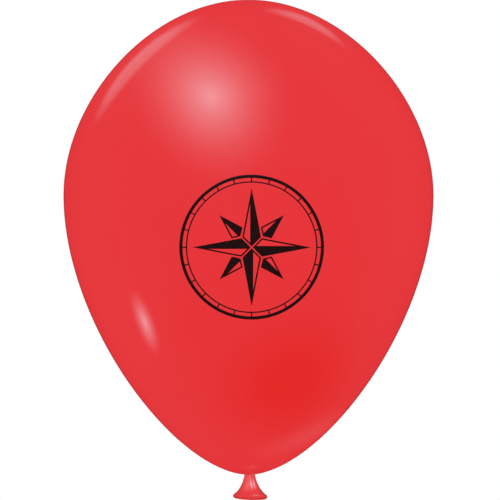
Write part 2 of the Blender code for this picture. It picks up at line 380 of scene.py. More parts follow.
# %% [markdown]
# One tree spins every outline. A flat grid is the raw sheet: its columns go round the axis, its rows run
# along the outline. Each grid point reads the outline, gets its crease, and is swung round the axis.
# Pleats in gathered rubber are sharp valleys between round ridges, which the absolute value of a cosine
# gives, and a slow noise lets them wander and differ. The last inputs let a soft rim nod, sag, turn and
# shift, and set a whole piece aside from the axis.

# %% A tree that spins an outline
def raw_sheet(bench, columns, rows):
    """A flat grid one unit wide and high, with the two coordinates of its points."""
    feeds = {"Size X": 1.0, "Size Y": 1.0, "Vertices X": columns, "Vertices Y": rows}
    sheet = bench.add("GeometryNodeMeshGrid", feeds)
    flat = bench.add("ShaderNodeSeparateXYZ", {"Vector": bench.add("GeometryNodeInputPosition")})
    return sheet, flat.outputs["X"], flat.outputs["Y"]


def unwrapped_sheet(bench, columns, rows):
    """A raw sheet of so many faces each way, which keeps its grid as the piece's UV map."""
    sheet, x, y = raw_sheet(bench, bench.sum("ADD", columns, 1.0), bench.sum("ADD", rows, 1.0))
    own_grid = bench.add(
        "GeometryNodeStoreNamedAttribute",
        {"Geometry": sheet.outputs["Mesh"], "Name": "UVMap", "Value": sheet.outputs["UV Map"]},
        data_type="FLOAT2",
        domain="CORNER",
    )
    return own_grid, x, y


def slow_noise(bench, loop, seed, scale, detail):
    """A noise that joins up round a loop, with a seed of its own."""
    feeds = {"Vector": loop, "W": seed, "Scale": scale, "Detail": detail}
    return bench.add("ShaderNodeTexNoise", feeds, noise_dimensions="4D").outputs["Fac"]


def make_spin_tree():
    bench = new_bench("spun_outline")
    outline = bench.takes("Outline", "Object")
    finish = bench.takes("Finish", "Material")
    columns = bench.takes("Columns", "Int", 96)
    rows = bench.takes("Rows", "Int", 48)
    crowding = bench.takes("Row crowding", "Float", 1.0)
    folds = bench.takes("Folds", "Float", 10.0)
    depth = bench.takes("Fold depth", "Float", 0.0)
    facing = bench.takes("Fold facing", "Float", -math.pi / 2)
    wander = bench.takes("Fold wander", "Float", 0.0)
    sharpness = bench.takes("Fold sharpness", "Float", 1.0)
    seed = bench.takes("Seed", "Float", 1.0)
    hang_top = bench.takes("Hang top", "Float", -1.0)
    hang_end = bench.takes("Hang end", "Float", -2.0)
    nod = bench.takes("Rim nod", "Float", 0.0)
    sag = bench.takes("Rim sag", "Float", 0.0)
    turn = bench.takes("Rim turn", "Float", 0.0)
    shift = bench.takes("Rim shift", "Float", 0.0)
    aside = bench.takes("Aside", "Float", 0.0)

    own_grid, flat_x, flat_y = unwrapped_sheet(bench, columns, rows)
    angle = bench.sum("MULTIPLY", bench.sum("ADD", flat_x, 0.5), 2 * math.pi)
    left_over = bench.sum("SUBTRACT", 0.5, flat_y)
    way = bench.sum("SUBTRACT", 1.0, bench.sum("POWER", left_over, crowding))

    line = bench.add("GeometryNodeObjectInfo", {"Object": outline}).outputs["Geometry"]
    note = bench.add("GeometryNodeInputRadius")
    read = bench.add("GeometryNodeSampleCurve", {"Curves": line, "Value": note, "Factor": way})
    drawn = bench.add("ShaderNodeSeparateXYZ", {"Vector": read.outputs["Position"]})
    reach, height = drawn.outputs["X"], drawn.outputs["Z"]

    across = bench.sum("COSINE", angle)
    along = bench.sum("SINE", angle)
    loop = bench.point(across, along, bench.sum("MULTIPLY", way, 0.7))
    slow = slow_noise(bench, loop, seed, 1.6, 2.0)
    off_beat = bench.sum("MULTIPLY", bench.sum("SUBTRACT", slow, 0.5), wander)
    beat = bench.sum("ADD", bench.sum("SUBTRACT", angle, facing), off_beat)
    half_turns = bench.sum("MULTIPLY", folds, 0.5, beat)
    valley = bench.sum("SUBTRACT", 1.0, bench.sum("ABSOLUTE", bench.sum("COSINE", half_turns)))
    valley = bench.sum("POWER", valley, sharpness)
    ridge = bench.sum("SUBTRACT", 0.25, bench.sum("MULTIPLY", valley, 1.25))
    uneven = slow_noise(bench, loop, bench.sum("ADD", seed, 7.0), 3.5, 1.0)
    strength = bench.sum("MULTIPLY", read.outputs["Value"], bench.step(uneven, 0.3, 0.7, 0.65, 1.15))
    strength = bench.step(strength, 0.0, 1.0)
    out = bench.sum("ADD", reach, bench.sum("MULTIPLY", ridge, depth, strength))

    x = bench.sum("MULTIPLY", out, across)
    y = bench.sum("MULTIPLY", out, along)
    hang = bench.step(height, hang_top, hang_end)
    drop = bench.sum("SUBTRACT", bench.sum("MULTIPLY", y, nod), bench.sum("MULTIPLY", x, turn))
    drop = bench.sum("SUBTRACT", drop, bench.sum("MULTIPLY", along, along, sag))
    x = bench.sum("ADD", x, aside, bench.sum("MULTIPLY", hang, shift))
    z = bench.sum("ADD", height, bench.sum("MULTIPLY", drop, hang))
    bench.gives(bench.welded(bench.moved(own_grid, bench.point(x, y, z))), finish)
    return bench.tree


spin_tree = make_spin_tree()
print("tree:", spin_tree.name, len(spin_tree.nodes), "nodes")

# %% [markdown]
# A shape tree only lives on an object while its modifier is there. The export wants plain faces.
# So the object is evaluated once, the result is kept as its mesh, and the modifier is taken off again.
# The signed volume tells whether the faces point outwards, and a shape that is inside out is turned.

# %% Grow a piece from a tree
def grow(name, tree, sizes):
    """A plain mesh object made by a shape tree with these inputs."""
    piece = bpy.data.objects.new(name, bpy.data.meshes.new(name))
    bpy.context.scene.collection.objects.link(piece)
    making = piece.modifiers.new("making", "NODES")
    making.node_group = tree
    for socket in tree.interface.items_tree:
        if socket.in_out == "INPUT" and socket.name in sizes:
            making[socket.identifier] = sizes[socket.name]
    grown = piece.evaluated_get(bpy.context.evaluated_depsgraph_get())
    mesh = bpy.data.meshes.new_from_object(grown)
    piece.modifiers.clear()
    piece.data = mesh
    mesh.name = name
    return piece


def turn_outwards(piece):
    """Turns a closed shape's faces outwards and returns its volume in cubic centimetres."""
    shell = bmesh.new()
    shell.from_mesh(piece.data)
    volume = shell.calc_volume(signed=True)
    if volume < 0:
        bmesh.ops.reverse_faces(shell, faces=shell.faces)
        shell.to_mesh(piece.data)
    open_edges = sum(1 for edge in shell.edges if len(edge.link_faces) != 2)
    shell.free()
    print(piece.name, "faces", len(piece.data.polygons), "open edges", open_edges)
    return abs(volume) * 1e6


def dress(piece, slot, *nodes):
    """Puts a finished piece on the balloon in place of its solids."""
    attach(piece, "root")
    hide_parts(*nodes)


print("pieces can be grown")

# %% [markdown]
# The body is a pear: an upper arc from the crown to the widest ring and a longer arc down to the tie.
# Near the tie the film turns into the neck and is drawn into pleats, which fade out within three
# centimetres. The lower arc is cut where the pleats start and again at the throat, so that each cut can
# carry its note. Rows are crowded towards the throat, where the shape turns quickly.
# The neck stands a millimetre to the right of the axis, as in the photograph, so the film leans over to it.

# %% Shape: the blown film
BODY_RADIUS = 0.150
WIDEST_Z = 0.2268
CROWN_ARC = [
    Vector((0.0, CROWN_Z)),
    Vector((0.0788, CROWN_Z)),
    Vector((BODY_RADIUS, WIDEST_Z + 0.0781)),
    Vector((BODY_RADIUS, WIDEST_Z)),
]
TAPER_ARC = [
    Vector((BODY_RADIUS, WIDEST_Z)),
    Vector((BODY_RADIUS, WIDEST_Z - 0.1043)),
    Vector((0.0593, 0.0016)),
    Vector((0.0, 0.0)),
]
PLEAT_REACH = 0.030
THROAT_START = 0.0037
NECK_RADIUS = 0.0024
NECK_Z = -0.0016
NECK_ASIDE = 0.0011
NECK_LEANS_FROM = 0.0020
THROAT_TURN = 0.0016
NECK_RUN = 0.0012

pleats_start = share_up_to(TAPER_ARC, lambda point: point.x > PLEAT_REACH)
smooth_part, gathered_part = cut_arc(TAPER_ARC, pleats_start)
throat_start = share_up_to(gathered_part, lambda point: point.x > THROAT_START)
pleated_part = cut_arc(gathered_part, throat_start)[0]
throat = pleated_part[3]
throat_arc = [
    throat,
    throat + (throat - pleated_part[2]).normalized() * THROAT_TURN,
    Vector((NECK_RADIUS, NECK_Z + NECK_RUN)),
    Vector((NECK_RADIUS, NECK_Z)),
]
end_arc = [Vector((NECK_RADIUS * rest, NECK_Z)) for rest in (1.0, 0.7, 0.3, 0.0)]
body_outline = draw_outline(
    "body_outline",
    [CROWN_ARC, smooth_part, pleated_part, throat_arc, end_arc],
    [0.0, 0.0, 0.0, 1.0, 0.75, 0.0],
)
film = grow(
    "balloon_film",
    spin_tree,
    {
        "Outline": body_outline,
        "Finish": film_finish,
        "Columns": 224,
        "Rows": 190,
        "Row crowding": 1.55,
        "Folds": 15.0,
        "Fold depth": 0.00042,
        "Fold sharpness": 1.4,
        "Fold wander": 0.6,
        "Seed": 3.0,
        "Hang top": NECK_LEANS_FROM,
        "Hang end": NECK_Z,
        "Rim shift": NECK_ASIDE,
    },
)
print("gas inside:", round(turn_outwards(film)), "cubic centimetres")
dress(film, "red_latex", "envelope")

# %% [markdown]
# Between the film and the tail the neck is a bunch of folded rubber that runs down through the knot.
# It is the same kind of shape as the body, so the same tree spins it, from a plain upright outline, and
# sets it aside by as much as the film leans.

# %% Shape: the bunched neck
CORE_RADIUS = 0.00195
CORE_TOP = -0.0008
CORE_END = -0.0054
CORE_EDGE = 0.0003


def straight_arc(start, end):
    return [start.lerp(end, share) for share in (0.0, 1 / 3, 2 / 3, 1.0)]


core_points = [
    Vector((0.0, CORE_TOP)),
    Vector((CORE_RADIUS, CORE_TOP - CORE_EDGE)),
    Vector((CORE_RADIUS, CORE_END + CORE_EDGE)),
    Vector((0.0, CORE_END)),
]
core_arcs = [straight_arc(start, end) for start, end in zip(core_points, core_points[1:])]
core_outline = draw_outline("core_outline", core_arcs, [0.0, 1.0, 1.0, 0.0])
core = grow(
    "bunched_neck",
    spin_tree,
    {
        "Outline": core_outline,
        "Finish": slack_finish,
        "Columns": 96,
        "Rows": 24,
        "Folds": 9.0,
        "Fold depth": 0.00022,
        "Fold wander": 0.8,
        "Seed": 5.0,
        "Aside": NECK_ASIDE,
    },
)
turn_outwards(core)
dress(core, "red_latex", "neck_core")

# %% [markdown]
# The knot is an overhand knot: a strand of folded neck goes twice round and crosses itself three times.
# Such a path has a formula, so its tree bends a ring of points along it and sweeps a flattened section
# round. The section is creased like a bunch of film, and the creases wind slowly along the strand.

# %% A tree that sweeps the knot
KNOT_RADIUS = 0.00285
KNOT_SWING = 0.00040
KNOT_LIFT = 0.00095
KNOT_Z = -0.001725
KNOT_PATH_POINTS = 360


def make_knot_tree():
    bench = new_bench("overhand_knot")
    finish = bench.takes("Finish", "Material")
    steps = bench.takes("Steps", "Int", 180)
    sides = bench.takes("Sides", "Int", 28)
    radius = bench.takes("Radius", "Float", KNOT_RADIUS)
    swing = bench.takes("Swing", "Float", KNOT_SWING)
    lift = bench.takes("Lift", "Float", KNOT_LIFT)
    middle = bench.takes("Middle height", "Float", KNOT_Z)
    aside = bench.takes("Aside", "Float", NECK_ASIDE)
    thick = bench.takes("Half thickness", "Float", 0.00075)
    wide = bench.takes("Half width", "Float", 0.00100)
    creases = bench.takes("Creases", "Float", 5.0)
    crease_depth = bench.takes("Crease depth", "Float", 0.16)
    winding = bench.takes("Winding", "Float", 2.0)

    ring = bench.add("GeometryNodeCurvePrimitiveCircle", {"Resolution": KNOT_PATH_POINTS, "Radius": 1.0})
    share = bench.add("GeometryNodeSplineParameter").outputs["Factor"]
    turn = bench.sum("MULTIPLY", share, 2 * math.pi)
    third = bench.sum("MULTIPLY", turn, 3.0)
    second = bench.sum("MULTIPLY", turn, 2.0)
    reach = bench.sum("ADD", radius, bench.sum("MULTIPLY", swing, bench.sum("COSINE", third)))
    x = bench.sum("MULTIPLY", reach, bench.sum("COSINE", second))
    y = bench.sum("MULTIPLY", reach, bench.sum("SINE", second))
    z = bench.sum("ADD", middle, bench.sum("MULTIPLY", lift, bench.sum("SINE", third)))
    path = bench.moved(ring, bench.point(x, y, z))

    own_grid, flat_x, flat_y = unwrapped_sheet(bench, steps, sides)
    along = bench.sum("ADD", flat_x, 0.5)
    around = bench.sum("MULTIPLY", bench.sum("ADD", flat_y, 0.5), 2 * math.pi)
    read = bench.add("GeometryNodeSampleCurve", {"Curves": path, "Factor": along})
    centre, tangent = read.outputs["Position"], read.outputs["Tangent"]
    level = bench.aim("NORMALIZE", bench.aim("MULTIPLY", centre, (1.0, 1.0, 0.0)))
    slip = bench.scaled(tangent, bench.aim("DOT_PRODUCT", level, tangent).outputs["Value"])
    outward = bench.aim("NORMALIZE", bench.aim("SUBTRACT", level, slip))
    upward = bench.aim("CROSS_PRODUCT", tangent, outward)

    wound = bench.sum("MULTIPLY", along, winding, 2 * math.pi)
    lobes = bench.sum("MULTIPLY", bench.sum("ADD", around, wound), bench.sum("MULTIPLY", creases, 0.5))
    ridge = bench.sum("SUBTRACT", bench.sum("ABSOLUTE", bench.sum("COSINE", lobes)), 0.6)
    fullness = bench.sum("ADD", 1.0, bench.sum("MULTIPLY", ridge, crease_depth))
    step_out = bench.scaled(outward, bench.sum("MULTIPLY", thick, bench.sum("COSINE", around), fullness))
    step_up = bench.scaled(upward, bench.sum("MULTIPLY", wide, bench.sum("SINE", around), fullness))
    skin = bench.aim("ADD", centre, bench.aim("ADD", step_out, step_up))
    skin = bench.aim("ADD", skin, bench.point(aside, 0.0, 0.0))
    bench.gives(bench.welded(bench.moved(own_grid, skin)), finish)
    return bench.tree


knot_tree = make_knot_tree()
print("tree:", knot_tree.name, len(knot_tree.nodes), "nodes")

# %% [markdown]
# The tree's own sizes are the knot's sizes, so it only needs its finish. The knot is pulled tight round
# the bunched neck and lies in the dip between the film and the tail.

# %% Shape: the knot
knot_piece = grow("overhand_knot", knot_tree, {"Finish": slack_finish})
turn_outwards(knot_piece)
dress(knot_piece, "red_latex", "knot")

# %% [markdown]
# The mouth of the neck opens into a flared skirt. It was never stretched, so the folds that the knot pulls
# into it are deepest at the top and die out before the lip. Its top edge curls up round the knot to the
# body and hides the knot, and its lower edge meets the rolled lip without a step.
# The rim nods down at the back, sags a little in front and behind, and dips a little to the right.
# The outline is drawn for the outer face, and a Solidify modifier adds the rubber inwards.

# %% Shape: the flared tail
TAIL_TOP_Z = 0.00040
TAIL_TOP_RADIUS = 0.0043
TAIL_WALL = 0.00036
BEAD_RADIUS = 0.01205
BEAD_HALF = 0.00185
BEAD_Z = -0.0174
BEAD_MEETS = math.radians(54)
HANG_TOP_Z = -0.00375
HANG_END_Z = BEAD_Z
RIM_NOD = math.tan(math.radians(-7.3))
RIM_SAG = 0.00065
RIM_TURN = math.tan(math.radians(2.1))
RIM_SHIFT = 0.00025
FOLD_TURN = -10.0

tail_shoulder = Vector((TAIL_TOP_RADIUS, TAIL_TOP_Z - 0.0006))
bead_centre = Vector((BEAD_RADIUS, BEAD_Z))
tail_rim = bead_centre + Vector((math.cos(BEAD_MEETS), math.sin(BEAD_MEETS))) * BEAD_HALF
rim_tuck = bead_centre + Vector((0.0009, -0.0002))
top_curl = [
    tail_shoulder + Vector((-0.00040, 0.00035)),
    tail_shoulder + Vector((-0.00038, 0.00060)),
    tail_shoulder + Vector((-0.00008, 0.00055)),
    tail_shoulder,
]
skirt = [
    tail_shoulder,
    tail_shoulder + Vector((0.0009, -0.0052)),
    tail_rim + Vector((-0.0050, 0.0033)),
    tail_rim,
]
tuck_under_lip = [
    tail_rim,
    tail_rim + Vector((0.0004, -0.0004)),
    rim_tuck + Vector((0.0001, 0.0006)),
    rim_tuck,
]
tail_outline = draw_outline("tail_outline", [top_curl, skirt, tuck_under_lip], [0.60, 1.0, 0.0, 0.0])
HANG = {
    "Hang top": HANG_TOP_Z,
    "Hang end": HANG_END_Z,
    "Rim nod": RIM_NOD,
    "Rim sag": RIM_SAG,
    "Rim turn": RIM_TURN,
    "Rim shift": RIM_SHIFT,
    "Aside": NECK_ASIDE,
}
tail = grow(
    "flared_tail",
    spin_tree,
    {
        "Outline": tail_outline,
        "Finish": slack_finish,
        "Columns": 200,
        "Rows": 54,
        "Folds": 5.0,
        "Fold depth": 0.00060,
        "Fold facing": math.radians(-90 + FOLD_TURN),
        "Fold sharpness": 2.0,
        "Fold wander": 0.5,
        "Seed": 3.0,
        **HANG,
    },
)


def face_out_from_axis(piece):
    """Turns an open spun sheet so that its faces look away from the axis."""
    shell = bmesh.new()
    shell.from_mesh(piece.data)
    looks = 0.0
    for face in shell.faces:
        looks += face.normal.xy.dot(face.calc_center_median().xy) * face.calc_area()
    if looks < 0:
        bmesh.ops.reverse_faces(shell, faces=shell.faces)
        shell.to_mesh(piece.data)
    shell.free()
    print(piece.name, "faces", len(piece.data.polygons), "turned" if looks < 0 else "as made")


def thicken(piece, name, thickness, side):
    """Gives a sheet its thickness, in front of its faces for side 1 and behind them for side -1."""
    wall = piece.modifiers.new(name, "SOLIDIFY")
    wall.thickness = thickness
    wall.offset = side


face_out_from_axis(tail)
thicken(tail, "rubber", TAIL_WALL, -1.0)
dress(tail, "red_latex", "neck_tail")

# %% [markdown]
# The lip is the edge of the dipped rubber, rolled on itself into a bead while it was wet.
# Its outline is a small round loop, spun by the same tree, and a shallow wandering crease makes it
# uneven. It hangs by the tail's own numbers, so the two stay joined.

# %% Shape: the rolled lip
ROUND_PULL = 0.5523


def round_loop(centre, radius):
    """Four arcs that make a circle."""
    corners = [Vector((1, 0)), Vector((0, -1)), Vector((-1, 0)), Vector((0, 1))]
    arcs = []
    for start, end in zip(corners, corners[1:] + corners[:1]):
        points = (start, start + end * ROUND_PULL, end + start * ROUND_PULL, end)
        arcs.append([centre + point * radius for point in points])
    return arcs


bead_outline = draw_outline(
    "bead_outline", round_loop(bead_centre, BEAD_HALF), [1.0] * 4, closed=True
)
bead = grow(
    "rolled_lip",
    spin_tree,
    {
        "Outline": bead_outline,
        "Finish": rolled_finish,
        "Columns": 240,
        "Rows": 32,
        "Folds": 11.0,
        "Fold depth": 0.00005,
        "Fold wander": 2.5,
        "Seed": 12.0,
        **HANG,
    },
)
turn_outwards(bead)
dress(bead, "red_latex", "lip_bead")

# %% [markdown]
# Ink lies on the film, not in front of it. Both printed pieces are made flat, facing the viewer, and then
# the same wires in their two trees wrap them: a ray is shot from each point at the film, and the point is
# set down a hair above the place that it hits. A broad noise first pulls the lines a little, as the
# stretched rubber did.

# %% Wires that lay ink on the film
PRINT_X = 0.0025
PRINT_Z = 0.1845
INK_LIFT = 0.00004
INK_THICK = 0.00005
INK_PULL = 0.0006
RAY_START = -0.4
RAY_LENGTH = 0.5


def lay_on_film(bench, flat_print, film_object, lift, pull):
    """Wires that carry flat faces in the XZ plane on to the front of the film."""
    place = bench.add("GeometryNodeInputPosition")
    drift = bench.add("ShaderNodeTexNoise", {"Vector": place, "Scale": 26.0, "Detail": 1.0})
    drift = bench.aim("SUBTRACT", drift.outputs["Color"], (0.5, 0.5, 0.5))
    drift = bench.aim("MULTIPLY", drift, (1.0, 0.0, 1.0))
    pulled = bench.scaled(drift, pull)
    eased = bench.add("GeometryNodeSetPosition", {"Geometry": flat_print, "Offset": pulled})
    feeds = {
        "Target Geometry": bench.add("GeometryNodeObjectInfo", {"Object": film_object}).outputs["Geometry"],
        "Source Position": bench.aim("ADD", place, (PRINT_X, RAY_START, PRINT_Z)),
        "Ray Direction": (0.0, 1.0, 0.0),
        "Ray Length": RAY_LENGTH,
    }
    ray = bench.add("GeometryNodeRaycast", feeds)
    rise = bench.scaled(ray.outputs["Hit Normal"], lift)
    return bench.moved(eased, bench.aim("ADD", ray.outputs["Hit Position"], rise))


print("ink can be laid on", film.name)

# %% [markdown]
# The dial is two rings joined by the marks of a scale. A ring is a grid bent into polar form, and the
# marks are one small bar, stood on every point of a circle and turned to face its centre.
# Instances are made real before they are wrapped, because the export would drop them.

# %% A tree that prints the dial
DIAL_RADIUS = 0.0560
DIAL_LINE = 0.0024
SCALE_RADIUS = 0.0500
SCALE_LINE = 0.0009
RING_POINTS = 289
MARK_COUNT = 24
MARK_WIDTH = 0.0009


def on_the_dial(bench, reach, angle):
    """A place in the XZ plane, at a distance from the dial's centre and an angle from its top."""
    x = bench.sum("MULTIPLY", reach, bench.sum("SINE", angle))
    z = bench.sum("MULTIPLY", reach, bench.sum("COSINE", angle))
    return bench.point(x, 0.0, z)


def flat_ring(bench, outer, line):
    """A flat ring in the XZ plane, between an outer radius and that radius less its line."""
    sheet, flat_x, flat_y = raw_sheet(bench, RING_POINTS, 4)
    angle = bench.sum("MULTIPLY", flat_x, 2 * math.pi)
    inwards = bench.sum("MULTIPLY", bench.sum("ADD", flat_y, 0.5), line)
    reach = bench.sum("SUBTRACT", outer, inwards)
    return bench.welded(bench.moved(sheet.outputs["Mesh"], on_the_dial(bench, reach, angle)))


def flat_marks(bench, count, inner, outer, width):
    """Bars that stand on a circle, from an inner to an outer radius."""
    length = bench.sum("SUBTRACT", outer, inner)
    feeds = {"Size X": width, "Size Y": length, "Vertices X": 3, "Vertices Y": 4}
    bar = bench.add("GeometryNodeMeshGrid", feeds).outputs["Mesh"]
    upright = (math.radians(90), 0.0, 0.0)
    stood_up = bench.add("GeometryNodeTransform", {"Geometry": bar, "Rotation": upright})
    circle = bench.add("GeometryNodeMeshLine", {"Count": count})
    share = bench.sum("DIVIDE", bench.add("GeometryNodeInputIndex"), count)
    angle = bench.sum("MULTIPLY", share, 2 * math.pi)
    reach = bench.sum("MULTIPLY", bench.sum("ADD", outer, inner), 0.5)
    stations = bench.moved(circle, on_the_dial(bench, reach, angle))
    facing = bench.add("FunctionNodeEulerToRotation", {"Euler": bench.point(0.0, angle, 0.0)})
    feeds = {"Points": stations, "Instance": stood_up, "Rotation": facing}
    return bench.add("GeometryNodeInstanceOnPoints", feeds)


def make_dial_tree():
    bench = new_bench("printed_dial")
    finish = bench.takes("Finish", "Material")
    film_object = bench.takes("Film", "Object")
    outer = bench.takes("Outer radius", "Float", DIAL_RADIUS)
    outer_line = bench.takes("Outer line", "Float", DIAL_LINE)
    scale = bench.takes("Scale radius", "Float", SCALE_RADIUS + SCALE_LINE)
    scale_line = bench.takes("Scale line", "Float", SCALE_LINE)
    marks = bench.takes("Marks", "Int", MARK_COUNT)
    mark_width = bench.takes("Mark width", "Float", MARK_WIDTH)
    lift = bench.takes("Lift", "Float", INK_LIFT)
    pull = bench.takes("Pull", "Float", INK_PULL)
    rim = bench.sum("SUBTRACT", outer, outer_line)
    joined = bench.add("GeometryNodeJoinGeometry")
    for part in (
        flat_ring(bench, outer, outer_line),
        flat_ring(bench, scale, scale_line),
        flat_marks(bench, marks, scale, rim, mark_width),
    ):
        bench.tree.links.new(part.outputs[0], joined.inputs[0])
    real = bench.add("GeometryNodeRealizeInstances", {"Geometry": joined})
    bench.gives(lay_on_film(bench, real, film_object, lift, pull), finish)
    return bench.tree


dial_tree = make_dial_tree()
print("tree:", dial_tree.name, len(dial_tree.nodes), "nodes")

# %% [markdown]
# A wrapped print is an open sheet. Its faces are turned to the viewer one by one, and a Solidify modifier
# gives the ink a thickness in front of the film, so that it is a layer and not a picture.

# %% Shape: the printed dial
def face_front(piece):
    """Turns printed faces towards the viewer, and gives the ink its thickness above the film."""
    shell = bmesh.new()
    shell.from_mesh(piece.data)
    shell.normal_update()
    wrong = [face for face in shell.faces if face.normal.y > 0]
    bmesh.ops.reverse_faces(shell, faces=wrong)
    shell.to_mesh(piece.data)
    shell.free()
    thicken(piece, "layer", INK_THICK, 1.0)
    print(piece.name, "faces", len(piece.data.polygons), "turned", len(wrong))


dial = grow("printed_dial", dial_tree, {"Finish": ink_finish, "Film": film})
face_front(dial)
dress(dial, "black_ink", "print_dial")

# %% [markdown]
# The wind rose has four long points and four short ones between them. Each point is a kite: its right half
# is solid ink and its left half is only a line round bare film, which is how such roses show two sides.
# Eight outlines with corners are quickest as a flat mesh. A tree then divides its long faces, which would
# cut through the curve of the film, and wraps them as the dial was wrapped.

# %% Shape: the printed wind rose
LONG_POINT = 0.0455
LONG_SPREAD = math.radians(42)
SHORT_POINT = 0.0350
SHORT_SPREAD = math.radians(20.5)
STAR_SHOULDER = 0.0115
SHORT_SHOULDER = STAR_SHOULDER * 1.48
STAR_GAP = 0.0008
STAR_LINE = 0.0011


def polar(radius, angle):
    return Vector((radius * math.sin(angle), radius * math.cos(angle)))


def inset(corners, distance):
    """The corners of a triangle moved in from every side by a distance."""
    middle = sum(corners, Vector((0.0, 0.0))) / len(corners)
    moved = []
    for before, corner, after in zip(corners[-1:] + corners[:-1], corners, corners[1:] + corners[:1]):
        normals = []
        for start, end in ((before, corner), (corner, after)):
            side = (end - start).normalized()
            normal = Vector((-side.y, side.x))
            normals.append(normal if normal.dot(middle - start) > 0 else -normal)
        bisector = (normals[0] + normals[1]).normalized()
        moved.append(corner + bisector * (distance / bisector.dot(normals[0])))
    return moved


def add_kite(flat, heading, heel, shoulder, spread, tip):
    """One point of the rose, as flat faces in the XZ plane."""
    heel_point = polar(heel, heading)
    left = polar(shoulder, heading - spread)
    right = polar(shoulder, heading + spread)
    tip_point = polar(tip, heading)
    whole = [heel_point, left, tip_point, right]
    edges = []
    for corners in (whole, inset([heel_point, left, tip_point], STAR_LINE)):
        verts = [flat.verts.new((corner.x, 0.0, corner.y)) for corner in corners]
        edges += [flat.edges.new(pair) for pair in zip(verts, verts[1:] + verts[:1])]
    bmesh.ops.triangle_fill(flat, use_beauty=True, edges=edges, normal=(0.0, -1.0, 0.0))


def make_flat_rose():
    flat = bmesh.new()
    for index in range(4):
        heading = index * math.pi / 2
        between = (index + 0.5) * math.pi / 2
        add_kite(flat, heading, STAR_GAP, STAR_SHOULDER - STAR_GAP, LONG_SPREAD, LONG_POINT)
        add_kite(flat, between, STAR_SHOULDER + STAR_GAP, SHORT_SHOULDER, SHORT_SPREAD, SHORT_POINT)
    mesh = bpy.data.meshes.new("flat_rose")
    flat.to_mesh(mesh)
    flat.free()
    return bpy.data.objects.new("flat_rose", mesh)


def make_rose_tree():
    bench = new_bench("printed_rose")
    finish = bench.takes("Finish", "Material")
    film_object = bench.takes("Film", "Object")
    flat_object = bench.takes("Flat print", "Object")
    level = bench.takes("Divisions", "Int", 4)
    lift = bench.takes("Lift", "Float", INK_LIFT)
    pull = bench.takes("Pull", "Float", INK_PULL)
    flat = bench.add("GeometryNodeObjectInfo", {"Object": flat_object}).outputs["Geometry"]
    fine = bench.add("GeometryNodeSubdivideMesh", {"Mesh": flat, "Level": level})
    bench.gives(lay_on_film(bench, fine, film_object, lift, pull), finish)
    return bench.tree


flat_rose = make_flat_rose()
rose_sizes = {"Finish": ink_finish, "Film": film, "Flat print": flat_rose}
rose = grow("printed_rose", make_rose_tree(), rose_sizes)
face_front(rose)
ROSE_NODES = [f"print_{length}_point_{index}" for length in ("long", "short") for index in range(1, 5)]
dress(rose, "black_ink", *ROSE_NODES)

# %% [markdown]
# The outlines and the flat rose have done their work, and what is left in the scene counts as a piece.
# So the helpers are taken away, and the list shows what stays.

# %% Clear the drawing table
for helper in (body_outline, core_outline, tail_outline, bead_outline, flat_rose):
    bpy.data.objects.remove(helper, do_unlink=True)
shown = [obj.name for obj in bpy.data.objects if obj.type == "MESH" and not obj.hide_render]
print("pieces left:", sorted(shown))

# %% [markdown]
# The studio is white all round, so the rubber shows its own colour with hardly any shade.
# What the gloss mirrors is kept apart: to mirror rays this world is dark, and the cells below hang up
# what they meet. Light Path in the world tells the two apart, and the camera itself sees plain white.

# %% Light: the white studio
ROOM_WHITE = (1.0, 1.0, 1.0, 1.0)
ROOM_DARK = (0.010, 0.010, 0.010, 1.0)


def make_world():
    world = bpy.data.worlds.new("white_studio")
    world.use_nodes = True
    bench = Bench(world.node_tree)
    background = world.node_tree.nodes["Background"]
    rays = bench.add("ShaderNodeLightPath")
    seen = blend(bench, rays.outputs["Is Glossy Ray"], ROOM_WHITE, ROOM_DARK)
    bench.plug(background.inputs["Color"], seen)
    world.cycles.sampling_method = "NONE"
    bpy.context.scene.world = world


make_world()
bpy.context.scene.view_settings.view_transform = "Standard"
bpy.context.scene.view_settings.look = "None"
print("world:", bpy.context.scene.world.name)

# %% [markdown]
# Everything that a gloss mirrors is hung as a stage piece that only mirror rays can see, and light
# linking says which rubber it shines on. The body and its print stand in a dim red tent, which keeps the
# film as flat at its edge as in its middle, as in the photograph. A dark gap in the tent, straight behind
# the balloon, draws the thin dark line round its outline. The neck has no tent, so its outline is darker.
# The film is left out of mirror images, or the body would hide a softbox from the small tail under it.
# It gives no soft shade either, so the neck under it is as bright as in the photograph.

# %% Light: the red tent
TENT_RED = (0.760, 0.0312, 0.0382, 1.0)
TENT_GAP = (0.200, 0.0200, 0.0240, 1.0)
TENT_RADIUS = 6.0
TENT_DIVISIONS = 4
GAP_EDGE = math.radians(20)
GAP_CORE = math.radians(10)


def make_group(name, pieces):
    """A collection outside the scene, which names the pieces that a light shines on."""
    group = bpy.data.collections.new(name)
    for piece in pieces:
        group.objects.link(piece)
    return group


def hang(name, sheet, finish, seen_by):
    """Puts up a stage piece that shows only in the mirror images of one group of pieces."""
    mesh = bpy.data.meshes.new(name)
    sheet.to_mesh(mesh)
    sheet.free()
    mesh.materials.append(finish)
    finish.cycles.emission_sampling = "NONE"
    hung = bpy.data.objects.new(name, mesh)
    bpy.context.scene.collection.objects.link(hung)
    hung.visible_camera = False
    hung.visible_diffuse = False
    hung.visible_shadow = False
    hung.light_linking.receiver_collection = seen_by
    print(name, "faces", len(mesh.polygons))


def bare_finish(name):
    """An empty material and its bench, for a finish that glows."""
    finish = bpy.data.materials.new(name)
    finish.use_nodes = True
    finish.node_tree.nodes.clear()
    return finish, Bench(finish.node_tree)


def show(bench, surface):
    bench.plug(bench.add("ShaderNodeOutputMaterial").inputs["Surface"], surface)


